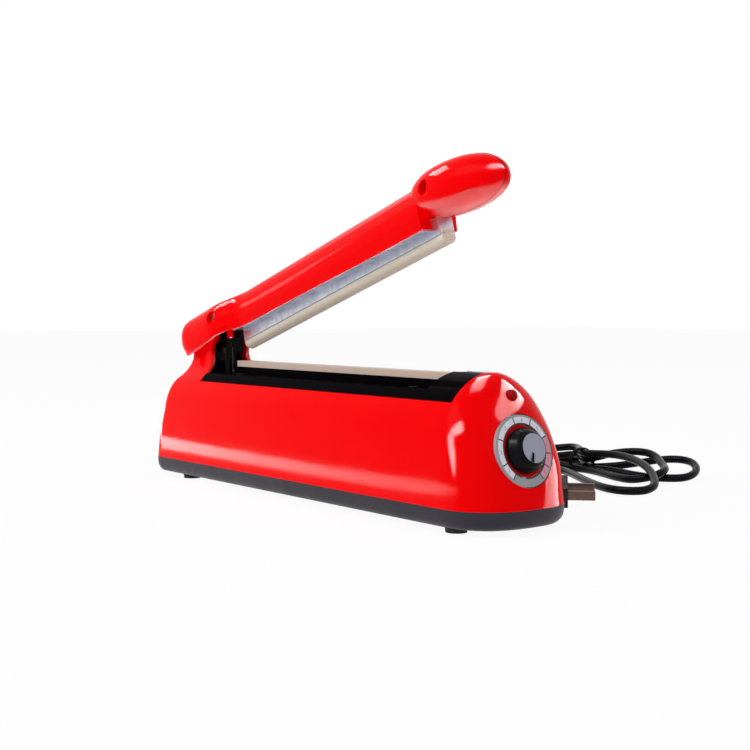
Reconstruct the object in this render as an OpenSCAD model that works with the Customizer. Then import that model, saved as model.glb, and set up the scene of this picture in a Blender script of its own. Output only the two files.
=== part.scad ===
// Impulse heat sealer: a hand-operated bag sealer with a sprung arm over a heated rail.
// Millimetres. +X is the knob end, +Z up. The origin is on the table under the middle of the base.

/* [Base] */
// Overall length of the base
body_length = 330; // [300:1:360]
// Width of the base at the seam between tray and housing
body_width = 72; // [68:1:80]
// How far the feet stand out below the tray
foot_height = 2.5; // [1.5:0.5:5]
// Radius of a foot
foot_radius = 6; // [4:0.5:8]
// Height of the grey tray
tray_height = 9.9; // [8:0.1:12]
// Radius of the tray's bottom edge
tray_edge = 7; // [4:0.5:7.5]
// Wall of the tray and of the red housing
shell_wall = 2.4; // [1.8:0.1:3]
// Radius of the base's rear corners in plan
rear_corner = 14; // [10:1:18]

/* [Housing] */
// Height above the table where the leaning sides turn into the arch
arch_base = 45; // [42:1:48]
// Half-width of the arch, and its rise
arch_radius = 33; // [31:0.5:35]
// Fullness of the arch: 2 is a circle, less is more pointed
arch_fullness = 1.8; // [1.6:0.1:2.2]
// Height of the housing's rim, where the black deck starts
rim_height = 63.5; // [61:0.5:66]
// Length of the rounded nose, from the deck to the front face at the seam
nose_length = 33; // [28:1:38]
// Backward lean of the front face, in degrees
front_lean = 15.7; // [10:0.1:18]
// Gap between the deck and what surrounds it
deck_gap = 0.2; // [0.1:0.05:0.4]

/* [Neck and hinge] */
// Distance of the hinge pin from the rear end of the base
hinge_setback = 45; // [42:1:52]
// Height of the hinge pin above the rail that the arm shuts on
hinge_rise = 21; // [20:0.1:23]
// Radius of the hinge pin
pin_radius = 2.5; // [2:0.1:3]
// Running clearance of the hinge pin in the arm
pin_clearance = 0.08; // [0.04:0.01:0.1]
// How far the arm stands open at rest, in degrees
open_angle = 16.9; // [10:0.1:20]
// Reach of the neck's foot in front of the pin
cheek_reach = 4; // [3:0.5:6]
// How far the front edges of the neck's cheeks lean back as they rise
cheek_lean = 5; // [3:0.5:6]
// Half-width of the neck where it has narrowed
neck_half_width = 14.2; // [13.5:0.1:15]
// Radius of the eye that the neck and the post have round the pin
eye_radius = 6; // [5:0.25:6.2]
// Half-width of the black post's bearing round the pin
post_half_width = 6; // [5.4:0.1:7]

/* [Sealing rail] */
// Half-width of the rail on the deck
rail_half_width = 4.2; // [3.5:0.1:5]
// Height of the rail above the deck's floor
rail_rise = 8; // [6.5:0.1:9]
// Height of the deck's floor above the housing's rim
deck_rise = 5; // [4:0.1:6]
// Wall of the deck
deck_wall = 2; // [1.6:0.1:2.4]
// Thickness of the non-stick tape over the rail
tape_thickness = 0.5; // [0.3:0.1:0.7]
// How far the tape reaches down the rail's sides
tape_drop = 3.7; // [2:0.1:4.5]
// Width of the heating ribbon
ribbon_width = 3; // [2:0.5:5]
// Thickness of the heating ribbon
ribbon_thickness = 0.4; // [0.3:0.1:0.5]
// Distance from the hinge pin to the rail's rear end
rail_start = 15.5; // [14:0.5:18]

/* [Arm] */
// Half-width of the arm at its ridge
arm_half_width = 13; // [12:0.5:14]
// Rise of the arm's back above the hinge pin
arm_rise = 15.8; // [14:0.2:18]
// Depth of the arm's lower edge below the hinge pin, at the front
arm_drop = 11; // [10:0.1:11.5]
// Half-width of the bulb that covers the hinge
bulb_half_width = 21.5; // [21:0.5:23]
// Reach of the bulb behind the hinge pin
bulb_reach = 37; // [36:0.5:39]
// Wall of the arm's shells
arm_wall = 2.4; // [2:0.1:2.8]
// Length of the handle
grip_length = 69.8; // [64:0.2:74]
// Half-width of the handle
grip_half_width = 16.6; // [14:0.2:18]
// Reach of the handle's tip in front of the hinge pin
grip_reach = 274.2; // [264:0.2:278]
// Distance of the metal channel's front end behind the handle's tip
channel_setback = 50.4; // [48:0.2:54]
// Radius of the wells that the arm's screws sit in
well_radius = 4.1; // [3.6:0.1:4.4]
// Half-width of the metal channel that holds the silicone
channel_half_width = 5; // [4.5:0.1:6]
// Depth of the channel's lower edge below the hinge pin
channel_drop = 15; // [14:0.1:15.5]
// Thickness of the channel's sheet metal
channel_wall = 1; // [0.8:0.1:1.2]
// Gap left between silicone and tape when the arm is shut
shut_gap = 0.3; // [0.2:0.1:0.5]
// How far the silicone sticks out in front of its channel
silicone_overhang = 9.5; // [4:0.5:10]
// Width of the ledge between the silicone and the edge of its channel
silicone_ledge = 1; // [0.4:0.1:1.6]

/* [Timer] */
// Height of the dial's centre above the table
dial_height = 40.4; // [36:0.2:44]
// Outer radius of the dial ring
dial_radius = 18.4; // [17:0.1:20]
// Inner radius of the dial ring
dial_bore = 13.2; // [12.6:0.1:14]
// Depth of the round recess that the dial ring sits in
dial_seat_depth = 2.2; // [1.8:0.1:3]
// Radius of the knob at its foot
knob_radius = 11.4; // [10:0.1:12]
// Height of the knob above the housing's front face
knob_height = 6.5; // [6:0.1:9]
// Radius of the grey disc on the knob
cap_radius = 7.4; // [6:0.1:8]
// Radius of the timer's shaft
shaft_radius = 3; // [2:0.1:3.2]
// Radius of the pilot lamp's dome
lamp_radius = 3; // [2.4:0.1:4]
// Height of the pilot lamp above the table
lamp_height = 66.7; // [64:0.1:68]

/* [Mains lead] */
// Diameter of the mains lead
cord_diameter = 5; // [4:0.2:6]
// Height above the table where the lead leaves the housing
cord_exit_height = 26; // [20:1:30]
// Length of the strain relief outside the housing
relief_length = 26; // [20:1:40]

/* [Hidden] */

$fn = 48;
eps = 0.01;
seat = 0.05;

rear_x = -body_length / 2;
front_x = body_length / 2;
seam_z = foot_height + tray_height;
crest_z = arch_base + arch_radius;
nose_x = front_x - nose_length;
lean_run = tan(front_lean);
hinge_x = rear_x + hinge_setback;
deck_floor = rim_height + deck_rise;
rail_top = deck_floor + rail_rise;
// Above all of the deck and rail: an upright hole is cut up to here
clear_z = max(crest_z, rail_top) + 5;
hinge_height = rail_top + hinge_rise;
cheek_x = hinge_x + cheek_reach;
deck_front_x = nose_x - deck_gap;
deck_rear_x = cheek_x + deck_gap;

// Colours as on the real product
red = [0.93, 0.02, 0.04];
grey_black = [0.2, 0.19, 0.21];
gloss_black = [0.05, 0.05, 0.055];
steel = [0.72, 0.73, 0.76];
brass = [0.78, 0.62, 0.3];
tan_tape = [0.78, 0.68, 0.58];
cream = [0.9, 0.87, 0.82];
copper = [0.72, 0.4, 0.22];
white = [0.92, 0.92, 0.93];

// ---------- shared curves ----------

// Blends a to b, t from 0 to 1, with level ends
function ease(a, b, t) = a + (b - a) * (let (u = max(0, min(1, t))) u * u * (3 - 2 * u));

// Reads a table of [key, value] rows between its rows
function follow(rows, key, i = 0) =
  key <= rows[0][0] ? rows[0][1]
  : i >= len(rows) - 2 || key < rows[i + 1][0]
    ? rows[i][1] + (rows[i + 1][1] - rows[i][1])
      * min(1, (key - rows[i][0]) / (rows[i + 1][0] - rows[i][0]))
    : follow(rows, key, i + 1);

// Cosine or sine kept with its sign, raised to a superellipse's power
function bent(value, n) = sign(value) * pow(abs(value), 2 / n);

// Solid skin through closed rings that all have the same number of points, with flat ends
module loft(rings) {
  count = len(rings[0]);
  last = len(rings) - 1;
  polyhedron(
    points = [for (ring = rings) each ring],
    faces = concat(
      [[for (i = [0 : count - 1]) i]],
      [for (r = [0 : last - 1], i = [0 : count - 1])
        [r * count + i, (r + 1) * count + i, (r + 1) * count + (i + 1) % count]],
      [for (r = [0 : last - 1], i = [0 : count - 1])
        [r * count + i, (r + 1) * count + (i + 1) % count, r * count + (i + 1) % count]],
      [[for (i = [count - 1 : -1 : 0]) last * count + i]]
    ),
    convexity = 6
  );
}

// ---------- form of the base ----------

// Half-width of the housing at a height
function side_y(z) =
  z < arch_base
    ? body_width / 2 + (arch_radius - body_width / 2) * (z - seam_z) / (arch_base - seam_z)
    : arch_radius * pow(max(0, 1 - pow((z - arch_base) / arch_radius, arch_fullness)), 1 / arch_fullness);

// Reach of the nose in front of nose_x at a height: a leaning line that rounds over to the crest
nose_turn_z = crest_z - 22;
function nose_reach(z) =
  (nose_length - (z - seam_z) * lean_run)
  * (z < nose_turn_z ? 1 : sqrt(max(0, 1 - pow((z - nose_turn_z) / (crest_z - nose_turn_z), 1.8))));

// Squareness of the nose in plan: squarest beside the dial, round towards the crest
function nose_power(z) = 2.5 + ease(0, 0.5, (z - seam_z) / 20) - ease(0, 1.2, (z - seam_z - 17.6) / 32);

// Rear end of the base at a height: upright, then swept forward into the neck
neck_rise = 14.5;
neck_rear_x = rear_x + neck_rise;
function tail_x(z) = neck_rear_x - neck_rise * (1 - pow(max(0, min(1, (z - 20) / (rim_height + 4 - 20))), 1.9));
function corner_r(z) = ease(rear_corner, 8, (z - arch_base) / (rim_height - arch_base));

nose_steps = 12;
corner_steps = 6;

// Half of the nose's outline, from the right side to the left, shrunk by an inset
function nose_outline(z, inset) = let (
    reach = nose_reach(z) - inset, half = side_y(z) - inset, n = nose_power(z)
  ) [for (i = [0 : 2 * nose_steps]) let (a = -90 + 90 * i / nose_steps)
    [nose_x + reach * bent(cos(a), n), half * bent(sin(a), n)]];

// Rear outline from the left corner to the right one
function tail_outline(z, half, inset) = let (r = corner_r(z) - inset, x = tail_x(z) + inset + r)
  concat(
    [for (i = [0 : corner_steps]) let (a = 90 + 90 * i / corner_steps)
      [x + r * cos(a), half - inset - r + r * sin(a)]],
    [for (i = [0 : corner_steps]) let (a = 180 + 90 * i / corner_steps)
      [x + r * cos(a), r - half + inset + r * sin(a)]]
  );

function base_ring(z, inset = 0) =
  [for (p = concat(nose_outline(z, inset), tail_outline(z, side_y(z), inset))) [p[0], p[1], z]];

function levels(from, to, count) = [for (i = [0 : count]) from + (to - from) * i / count];

// ---------- tray ----------

// Tray ring: the base's seam outline pulled in where the bottom edge is rounded
function tray_ring(z, inset) = let (
    drop = max(0, foot_height + tray_edge - z),
    pull = tray_edge - sqrt(max(0, tray_edge * tray_edge - drop * drop))
  ) [for (p = base_ring(seam_z, inset + pull * 0.8)) [p[0], p[1], z]];

foot_places = [for (x = [rear_x + 37, front_x - 30], y = [-1, 1]) [x, y * (body_width / 2 - 11)]];
tray_post_places = [for (x = [rear_x + 56, front_x - 62], y = [-1, 1]) [x, y * (body_width / 2 - 12)]];
tray_post_radius = 3.4;
tray_screw_radius = 1.5;
vent_count = 7;
vent_pitch = 7;

module base_tray() {
  floor_z = foot_height + shell_wall;
  color(grey_black) difference() {
    union() {
      difference() {
        loft([for (t = [0, 0.08, 0.2, 0.38, 0.62, 1]) tray_ring(foot_height + tray_edge * t, 0), tray_ring(seam_z, 0)]);
        loft([for (z = [floor_z, floor_z + 1.5, floor_z + 4, seam_z + 1]) tray_ring(z, shell_wall)]);
      }
      for (p = tray_post_places) translate([p[0], p[1], foot_height + 1]) cylinder(r = tray_post_radius, h = seam_z - foot_height - 1);
    }
    for (p = tray_post_places) translate([p[0], p[1], 0]) {
      cylinder(r = tray_screw_radius + 0.2, h = seam_z + 1);
      cylinder(r = tray_screw_radius + 1.4, h = foot_height + 2.2);
    }
    for (p = foot_places) translate([p[0], p[1], 0]) cylinder(r = foot_radius + seat, h = foot_height + 1);
    for (i = [0 : vent_count - 1]) translate([(i - (vent_count - 1) / 2) * vent_pitch - 30, 0, 0])
      translate([-1.25, -14, 0]) cube([2.5, 28, seam_z]);
  }
}

module tray_screws() {
  color(steel) for (p = tray_post_places) translate([p[0], p[1], foot_height + 0.6]) {
    cylinder(r = tray_screw_radius, h = seam_z - foot_height - 2);
    cylinder(r = tray_screw_radius + 1.2, h = 1.5);
  }
}

module rubber_feet() {
  color([0.07, 0.07, 0.07]) for (p = foot_places) translate([p[0], p[1], 0])
    cylinder(r1 = foot_radius - 0.6, r2 = foot_radius, h = foot_height + 1);
}

// ---------- red housing ----------

dial_x = nose_x + nose_reach(dial_height);
lamp_x = nose_x + nose_reach(lamp_height) - 0.6;
bushing_radius = shaft_radius + 1;

// Puts its children on the leaning front face, with +Z out of the face
module on_face(x, z) { translate([x, 0, z]) rotate([0, 90 - front_lean, 0]) children(); }

// Half-width of the neck: it leaves the arch and draws in to the hinge
neck_top_z = hinge_height + eye_radius;
neck_flare = 15;
function neck_y(z) = let (rise = max(0, min(1, (z - rim_height) / neck_flare)))
  neck_half_width + (side_y(rim_height) - neck_half_width) * pow(1 - rise, 1.7);

// Outline of the neck at a height, open in front where it reaches past to_x
function neck_ring(z, inset, to_x) = let (half = neck_y(z))
  [for (p = concat([[to_x, inset - half], [to_x, half - inset]], tail_outline(max(z, rim_height), half, inset)))
    [p[0], p[1], z]];

// Side view of the neck: a cheek with an eye round the pin
module neck_profile() {
  rise_x = tail_x(rim_height + 10);
  polygon([
    [rise_x - 3, seam_z], [cheek_x, seam_z], [cheek_x, rim_height], [cheek_x - cheek_lean, hinge_height - 17],
    [cheek_x - cheek_lean, hinge_height - 12], [hinge_x + eye_radius - 1, hinge_height - 3],
    [hinge_x - 3.4, hinge_height + 4.9], [rise_x - 3, hinge_height - 10]
  ]);
  translate([hinge_x, hinge_height]) circle(r = eye_radius);
}

module housing() {
  rim_levels = concat(levels(seam_z, arch_base, 5), levels(arch_base + 3, rim_height, 6));
  nose_levels = concat(levels(rim_height, crest_z - 4, 5), [crest_z - 2.4, crest_z - 1.2, crest_z - 0.4]);
  neck_levels = concat(levels(rim_height, hinge_height - 11, 7), levels(hinge_height - 10, neck_top_z, 3));
  color(red) difference() {
    union() {
      difference() {
        loft([for (z = rim_levels) base_ring(z)]);
        loft([for (z = concat([seam_z - 1], rim_levels, [rim_height + 1])) base_ring(z, shell_wall)]);
      }
      difference() {
        loft([for (z = nose_levels) [for (p = nose_outline(z, 0)) [p[0], p[1], z]]]);
        loft([for (z = concat([rim_height - 1], levels(rim_height, crest_z - 4, 5)))
          [for (p = nose_outline(min(z, crest_z - 4), shell_wall)) [p[0] - (abs(p[1]) > side_y(z) - shell_wall - eps ? 1 : 0), p[1], z]]]);
      }
      difference() {
        intersection() {
          loft([for (z = neck_levels) neck_ring(z, 0, hinge_x + eye_radius)]);
          translate([0, body_width, 0]) rotate([90, 0, 0]) linear_extrude(2 * body_width) neck_profile();
        }
        loft([for (z = concat([rim_height - 1], neck_levels, [neck_top_z + 1]))
          neck_ring(z, shell_wall, hinge_x + eye_radius + 1)]);
      }
    }
    translate([hinge_x, body_width, hinge_height]) rotate([90, 0, 0]) cylinder(r = pin_radius + seat, h = 2 * body_width);
    on_face(dial_x, dial_height) {
      translate([0, 0, -dial_seat_depth]) cylinder(r = dial_radius + 0.25, h = 10);
      translate([0, 0, -10]) cylinder(r = bushing_radius + seat, h = 12);
    }
    on_face(lamp_x, lamp_height) translate([0, 0, -10]) cylinder(r = lamp_radius + 0.1, h = 20);
    translate([rear_x - 1, 0, cord_exit_height]) rotate([0, 90, 0]) cylinder(r = cord_diameter / 2 + 2, h = 12);
  }
}

// ---------- black deck ----------

shoulder_run = 25;
ramp_run = 4;
deck_screw_places = [for (x = [deck_rear_x + 24, deck_front_x - 48], y = [-1, 1]) [x, y * 10.5]];
deck_screw_radius = 1.4;
screw_sink = 2.6;
terminal_inset = 9;
rail_rear_x = hinge_x + rail_start;
rail_front_x = deck_front_x - shoulder_run - 0.3;
terminal_places = [rail_rear_x + terminal_inset, rail_front_x - terminal_inset];
switch_x = hinge_x + 8.8;
switch_y = -7;
guide_radius = 2.6;

// Cross-section of the deck from Y = 0 to its left edge
function deck_edge(inset) = [for (z = levels(rim_height, deck_floor, 3)) [side_y(z) - deck_gap - inset, z]];

module deck_section(inset) {
  edge = deck_edge(inset);
  low = rim_height + (inset > 0 ? -1 : 0);
  polygon(concat(
    [[-edge[0][0], low], [edge[0][0], low]],
    [for (p = edge) [p[0], p[1] - inset]],
    [for (i = [len(edge) - 1 : -1 : 0]) [-edge[i][0], edge[i][1] - inset]]
  ));
}

// Full arch over the deck's floor
module arch_section(inset) {
  steps = levels(rim_height, crest_z - 0.6, 9);
  polygon(concat(
    [for (z = steps) [side_y(z) - deck_gap - inset, z - inset]],
    [for (i = [len(steps) - 1 : -1 : 0]) [deck_gap + inset - side_y(steps[i]), steps[i] - inset]]
  ));
}

// Extrudes a Y-Z section along X
module along_x(from, to) { translate([from, 0, 0]) rotate([90, 0, 90]) linear_extrude(to - from) children(); }

// Side view of the shoulder that ramps from the deck's floor up to the nose
module shoulder_profile(drop) {
  foot_x = deck_front_x - shoulder_run;
  ramp = [for (i = [0 : 5]) let (a = 90 * i / 5)
    [foot_x + ramp_run * (1 - cos(a)), deck_floor + (crest_z + 0.5 - deck_floor) * sin(a) - drop]];
  polygon(concat(ramp, [[deck_front_x, crest_z + 0.5 - drop], [deck_front_x, rim_height - drop], [foot_x, rim_height - drop]]));
}

module top_deck() {
  color(gloss_black) difference() {
    union() {
      difference() {
        along_x(deck_rear_x, deck_front_x) deck_section(0);
        along_x(deck_rear_x + deck_wall, deck_front_x - deck_wall) deck_section(deck_wall);
      }
      difference() {
        intersection() {
          along_x(deck_front_x - shoulder_run - 1, deck_front_x) arch_section(0);
          translate([0, body_width, 0]) rotate([90, 0, 0]) linear_extrude(2 * body_width) shoulder_profile(0);
        }
        translate([0, 0, -deck_wall]) intersection() {
          along_x(deck_front_x - shoulder_run - 1, deck_front_x - deck_wall) arch_section(deck_wall);
          translate([deck_wall, body_width, 0]) rotate([90, 0, 0]) linear_extrude(2 * body_width) shoulder_profile(0);
        }
      }
      translate([rail_rear_x, -rail_half_width, deck_floor - deck_wall]) cube([rail_front_x - rail_rear_x, 2 * rail_half_width, rail_rise + deck_wall - 2.2]);
      for (p = deck_screw_places) translate([p[0], p[1], rim_height - 8]) cylinder(r = 4.8, h = deck_floor - rim_height + 7);
    }
    translate([rail_rear_x + 2, -rail_half_width + 1.4, rim_height - 2])
      cube([rail_front_x - rail_rear_x - 4, 2 * rail_half_width - 2.8, deck_floor - rim_height + rail_rise - 2.2]);
    for (p = deck_screw_places) translate([p[0], p[1], 0]) {
      cylinder(r = deck_screw_radius + seat, h = clear_z);
      translate([0, 0, deck_floor - screw_sink]) cylinder(r = 3.4, h = 10);
    }
    translate([switch_x, switch_y, 0]) cylinder(r = guide_radius + deck_gap, h = clear_z);
    translate([deck_front_x - shoulder_run + 5, -12, rim_height - 1])
      cube([shoulder_run - 10, 24, deck_rise + 2]);
    translate([deck_front_x - shoulder_run - 1, -silicone_half_width - 0.8, rail_top])
      cube([hinge_x + channel_end + silicone_overhang + 1.8 - deck_front_x + shoulder_run, 2 * silicone_half_width + 1.6, 10]);
    for (x = terminal_places) translate([x, 0, 0]) cylinder(r = 1.6, h = clear_z);
  }
}

spring_pocket = eye_radius + 2.5;

// Black post between the neck's cheeks, with the pin's middle bearing and the switch pin's guide
post_front_x = cheek_x - cheek_lean - 4.5;
post_low_z = rim_height - 3;
post_top_z = hinge_height - 10;
post_corner = 3;

// Outline of the post at a height: it fills the neck and rounds off in front
function post_ring(z) = let (inset = shell_wall + deck_gap, half = neck_y(z) - inset, r = post_corner,
    front = post_front_x + (cheek_x - post_front_x) * pow(1 - max(0, min(1, (z - rim_height) / neck_flare)), 2))
  [for (p = concat(
    [for (a = [-90, -45, 0]) [front - r + r * cos(a), r - half + r * sin(a)]],
    [for (a = [0, 45, 90]) [front - r + r * cos(a), half - r + r * sin(a)]],
    tail_outline(max(z, rim_height), neck_y(z), inset)
  )) [p[0], p[1], z]];

module hinge_post() {
  bearing = eye_radius - 0.5;
  bearing_low = hinge_height - 16;
  color(gloss_black) difference() {
    union() {
      loft([for (z = concat([post_low_z], levels(rim_height, rim_height + neck_flare, 6), [post_top_z])) post_ring(z)]);
      translate([hinge_x, post_half_width, hinge_height]) rotate([90, 0, 0])
        cylinder(r = bearing, h = 2 * post_half_width);
      translate([hinge_x - bearing, -post_half_width, bearing_low])
        cube([2 * bearing, 2 * post_half_width, hinge_height - bearing_low]);
      translate([post_front_x - 2, -post_half_width, bearing_low])
        cube([hinge_x - post_front_x, 2 * post_half_width, post_top_z - bearing_low]);
      translate([switch_x, switch_y, post_low_z]) cylinder(r = guide_radius, h = switch_top - 3 - post_low_z);
      translate([hinge_x, switch_y - guide_radius, bearing_low])
        cube([switch_x - hinge_x, 2 * guide_radius, switch_top - 3 - bearing_low]);
    }
    translate([hinge_x, body_width, hinge_height]) rotate([90, 0, 0])
      cylinder(r = pin_radius + seat, h = 2 * body_width);
    translate([hinge_x, 3.4, hinge_height]) rotate([90, 0, 0]) cylinder(r = spring_pocket, h = 6.8);
    translate([switch_x, switch_y, 0]) cylinder(r = 1.55, h = hinge_height);
  }
}

// ---------- rail ----------

rail_seat_z = rail_top - 2.2;

module rail_insulation() {
  color([0.75, 0.72, 0.62]) difference() {
    translate([rail_rear_x, -rail_half_width, rail_seat_z]) cube([rail_front_x - rail_rear_x, 2 * rail_half_width, 2.2 - tape_thickness - ribbon_thickness]);
    for (x = terminal_places) translate([x, 0, 0]) cylinder(r = 1.6, h = clear_z);
  }
}

ribbon_z = rail_top - tape_thickness - ribbon_thickness;

module heating_ribbon() {
  span = rail_front_x - rail_rear_x;
  color(steel) difference() {
    union() {
      translate([rail_rear_x, -ribbon_width / 2, ribbon_z]) cube([span, ribbon_width, ribbon_thickness]);
      for (x = [rail_rear_x, rail_front_x - 5]) translate([x, -rail_half_width, ribbon_z]) cube([5, 2 * rail_half_width, ribbon_thickness]);
    }
    for (x = terminal_places) translate([x, 0, 0]) cylinder(r = 1.3, h = clear_z);
  }
}

module ribbon_tape() {
  half = rail_half_width + tape_thickness;
  color(tan_tape) difference() {
    translate([rail_rear_x, -half, rail_top - tape_drop]) cube([rail_front_x - rail_rear_x, 2 * half, tape_drop]);
    translate([rail_rear_x - 1, -rail_half_width, 0]) cube([rail_front_x - rail_rear_x + 2, 2 * rail_half_width, rail_top - tape_thickness]);
  }
}

module ribbon_terminals() {
  color(brass) for (x = terminal_places) difference() {
    translate([x - 4, 1.5 - rail_half_width, rim_height - 6]) cube([8, 2 * rail_half_width - 3, deck_floor + rail_rise - 3 - deck_wall - rim_height + 6]);
    translate([x, 0, rim_height - 7]) cylinder(r = 1.25 + seat, h = 30);
  }
}

module terminal_screws() {
  color(steel) for (x = terminal_places) translate([x, 0, rim_height - 9]) {
    cylinder(r = 1.25, h = ribbon_z - rim_height + 9);
    cylinder(r = 2.6, h = 3, $fn = 6);
  }
}

module deck_screws() {
  color(steel) for (p = deck_screw_places) translate([p[0], p[1], rim_height - 8.5]) {
    cylinder(r = deck_screw_radius, h = deck_floor - rim_height + 7.5);
    translate([0, 0, deck_floor - rim_height + 7.3]) difference() {
      cylinder(r = 2.7, h = 1.5);
      for (a = [0, 90]) rotate([0, 0, a]) translate([-1.8, -0.35, 0.7]) cube([3.6, 0.7, 1]);
    }
  }
}

// ---------- hinge ----------

arm_pin_reach = bulb_half_width - 1.1;

module hinge_pin() {
  color(steel) translate([hinge_x, arm_pin_reach, hinge_height]) rotate([90, 0, 0]) {
    cylinder(r = pin_radius, h = 2 * arm_pin_reach);
  }
}

spring_wire = 0.7;
spring_turns = 3;

// Wire swept along points, as a chain of rings with 6 sides
module wire(path, r, sides = 6) {
  last = len(path) - 1;
  function heading(i) = let (d = path[min(i + 1, last)] - path[max(i - 1, 0)]) d / norm(d);
  loft([for (i = [0 : last]) let (
      d = heading(i), up = abs(d[1]) > 0.9 ? [0, 0, 1] : [0, 1, 0],
      u = cross(up, d) / norm(cross(up, d)), v = cross(d, u)
    ) [for (k = [0 : sides - 1]) path[i] + r * (cos(360 * k / sides) * u + sin(360 * k / sides) * v)]]);
}

// Torsion spring round the pin, drawn as it lies with the arm shut: one leg is in the post, the
// other pushes up on the boss of the arm's rear screw
spring_radius = pin_radius + spring_wire + 0.4;
spring_end = 292;

module return_spring() {
  pitch = 2 * spring_wire + 0.2;
  sweep = 360 * (spring_turns - 1) + spring_end;
  half = pitch * sweep / 720;
  coil = [for (a = levels(0, sweep, 12 * spring_turns)) [spring_radius * cos(a), pitch * a / 360 - half, spring_radius * sin(a)]];
  boss = screw_places[0];
  color(steel) translate([hinge_x, 0, hinge_height]) wire(concat(
    [[spring_radius, -half, 1.2 - spring_pocket]], coil, [[boss[0] + 2, half, boss[1] - boss_radius - spring_wire]]
  ), spring_wire);
}

// ---------- transformer ----------

core_x = 60;
core_y = 24;
core_z = 50;
core_from_rear = 105;
core_limb = 10;
core_centre_x = rear_x + core_from_rear + core_x / 2;
tray_floor_z = foot_height + shell_wall;
strap_thickness = 1;
core_low_z = tray_floor_z + strap_thickness;
strap_screw_radius = 1.8;
strap_ear = 9;

module transformer_core() {
  window_x = core_limb;
  window_z = core_z - 2 * core_limb;
  color([0.35, 0.35, 0.37]) translate([core_centre_x, 0, core_low_z]) difference() {
    translate([-core_x / 2, -core_y / 2, 0]) cube([core_x, core_y, core_z]);
    for (side = [-1, 1]) translate([side * (core_limb + window_x / 2) - window_x / 2, -core_y, core_limb]) cube([window_x, 2 * core_y, window_z]);
  }
}

module transformer_coil() {
  gap = 0.2;
  window_z = core_z - 2 * core_limb;
  color(copper) translate([core_centre_x, 0, core_low_z + core_limb + gap]) difference() {
    linear_extrude(window_z - 2 * gap) offset_square(2 * core_limb - gap, core_y / 2 + core_limb - gap, 3);
    translate([-core_limb - gap, -core_y / 2 - gap, -1]) cube([2 * core_limb + 2 * gap, core_y + 2 * gap, window_z + 2]);
  }
}

// Rectangle of given half-sizes with rounded corners
module offset_square(half_x, half_y, r) {
  square([2 * half_x, 2 * (half_y - r)], center = true);
  square([2 * (half_x - r), 2 * half_y], center = true);
  for (x = [-1, 1], y = [-1, 1]) translate([x * (half_x - r), y * (half_y - r)]) circle(r = r);
}

module transformer_strap() {
  t = strap_thickness;
  width = 14;
  color(steel) translate([core_centre_x, 0, tray_floor_z]) difference() {
    union() {
      difference() {
        translate([-core_x / 2 - t, -width / 2, 0]) cube([core_x + 2 * t, width, core_z + 2 * t]);
        translate([-core_x / 2, -width, -1]) cube([core_x, 2 * width, core_z + t + 1]);
      }
      for (side = [-1, 1]) translate([side * (core_x / 2 + strap_ear / 2) - strap_ear / 2, -width / 2, 0]) cube([strap_ear, width, t]);
    }
    for (side = [-1, 1]) translate([side * (core_x / 2 + strap_ear - 3.5), 0, -1]) cylinder(r = strap_screw_radius + 0.2, h = 4);
  }
}

module transformer_screws() {
  color(steel) for (side = [-1, 1]) translate([core_centre_x + side * (core_x / 2 + strap_ear - 3.5), 0, tray_floor_z]) {
    cylinder(r = strap_screw_radius, h = strap_thickness + 2);
    translate([0, 0, strap_thickness]) cylinder(r = strap_screw_radius + 1.2, h = 2);
  }
}

// ---------- timer ----------

face_wall = shell_wall + 0.4;
pot_radius = 8;
pot_depth = 9;
board_thickness = 1.6;
nut_height = 2;

module dial_ring() {
  color(white) on_face(dial_x, dial_height) translate([0, 0, -dial_seat_depth]) difference() {
    cylinder(r = dial_radius, h = dial_seat_depth - 0.5);
    translate([0, 0, -1]) cylinder(r = dial_bore, h = 10);
  }
}

module timer_pot() {
  color([0.3, 0.42, 0.35]) on_face(dial_x, dial_height) difference() {
    union() {
      translate([0, 0, -dial_seat_depth - face_wall - pot_depth]) cylinder(r = pot_radius, h = pot_depth);
      translate([0, 0, -dial_seat_depth - face_wall - 1]) cylinder(r = bushing_radius, h = face_wall + 1 + nut_height);
    }
    translate([0, 0, -dial_seat_depth - face_wall - pot_depth + 2]) cylinder(r = shaft_radius + seat, h = 40);
  }
}

module pot_nut() {
  color(brass) on_face(dial_x, dial_height) translate([0, 0, -dial_seat_depth]) difference() {
    cylinder(r = bushing_radius + 1.8, h = nut_height - 0.4, $fn = 6);
    translate([0, 0, -1]) cylinder(r = bushing_radius + seat, h = 10);
  }
}

module timer_board() {
  color([0.25, 0.4, 0.2]) on_face(dial_x, dial_height)
    translate([-11, -22, -dial_seat_depth - face_wall - pot_depth - board_thickness]) cube([33, 44, board_thickness]);
}

module board_parts() {
  color([0.16, 0.17, 0.25]) on_face(dial_x, dial_height)
    translate([0, 0, -dial_seat_depth - face_wall - pot_depth - board_thickness]) {
      translate([14, -12, -14]) cylinder(r = 5, h = 14);
      translate([14, 2, -11]) cylinder(r = 4, h = 11);
      translate([-8, -18, -9]) cube([12, 16, 9]);
      translate([-6, 6, -12]) cube([10, 12, 12]);
    }
}

module timer_shaft() {
  color(steel) on_face(dial_x, dial_height) translate([0, 0, -dial_seat_depth - face_wall - pot_depth + 2.3])
    cylinder(r = shaft_radius, h = pot_depth + face_wall + dial_seat_depth + knob_height - 4.3);
}

knob_foot = 1 - dial_seat_depth;

module knob_profile() {
  polygon([
    [0, knob_foot], [knob_radius, knob_foot], [knob_radius, knob_foot + 1.4], [knob_radius - 0.6, knob_foot + 2.8],
    [cap_radius + 1.8, knob_height - 1.4],
    [cap_radius + 0.6, knob_height - 0.3], [cap_radius + 0.25, knob_height], [cap_radius, knob_height],
    [cap_radius, knob_height - 0.8], [0, knob_height - 0.8]
  ]);
}

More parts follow.
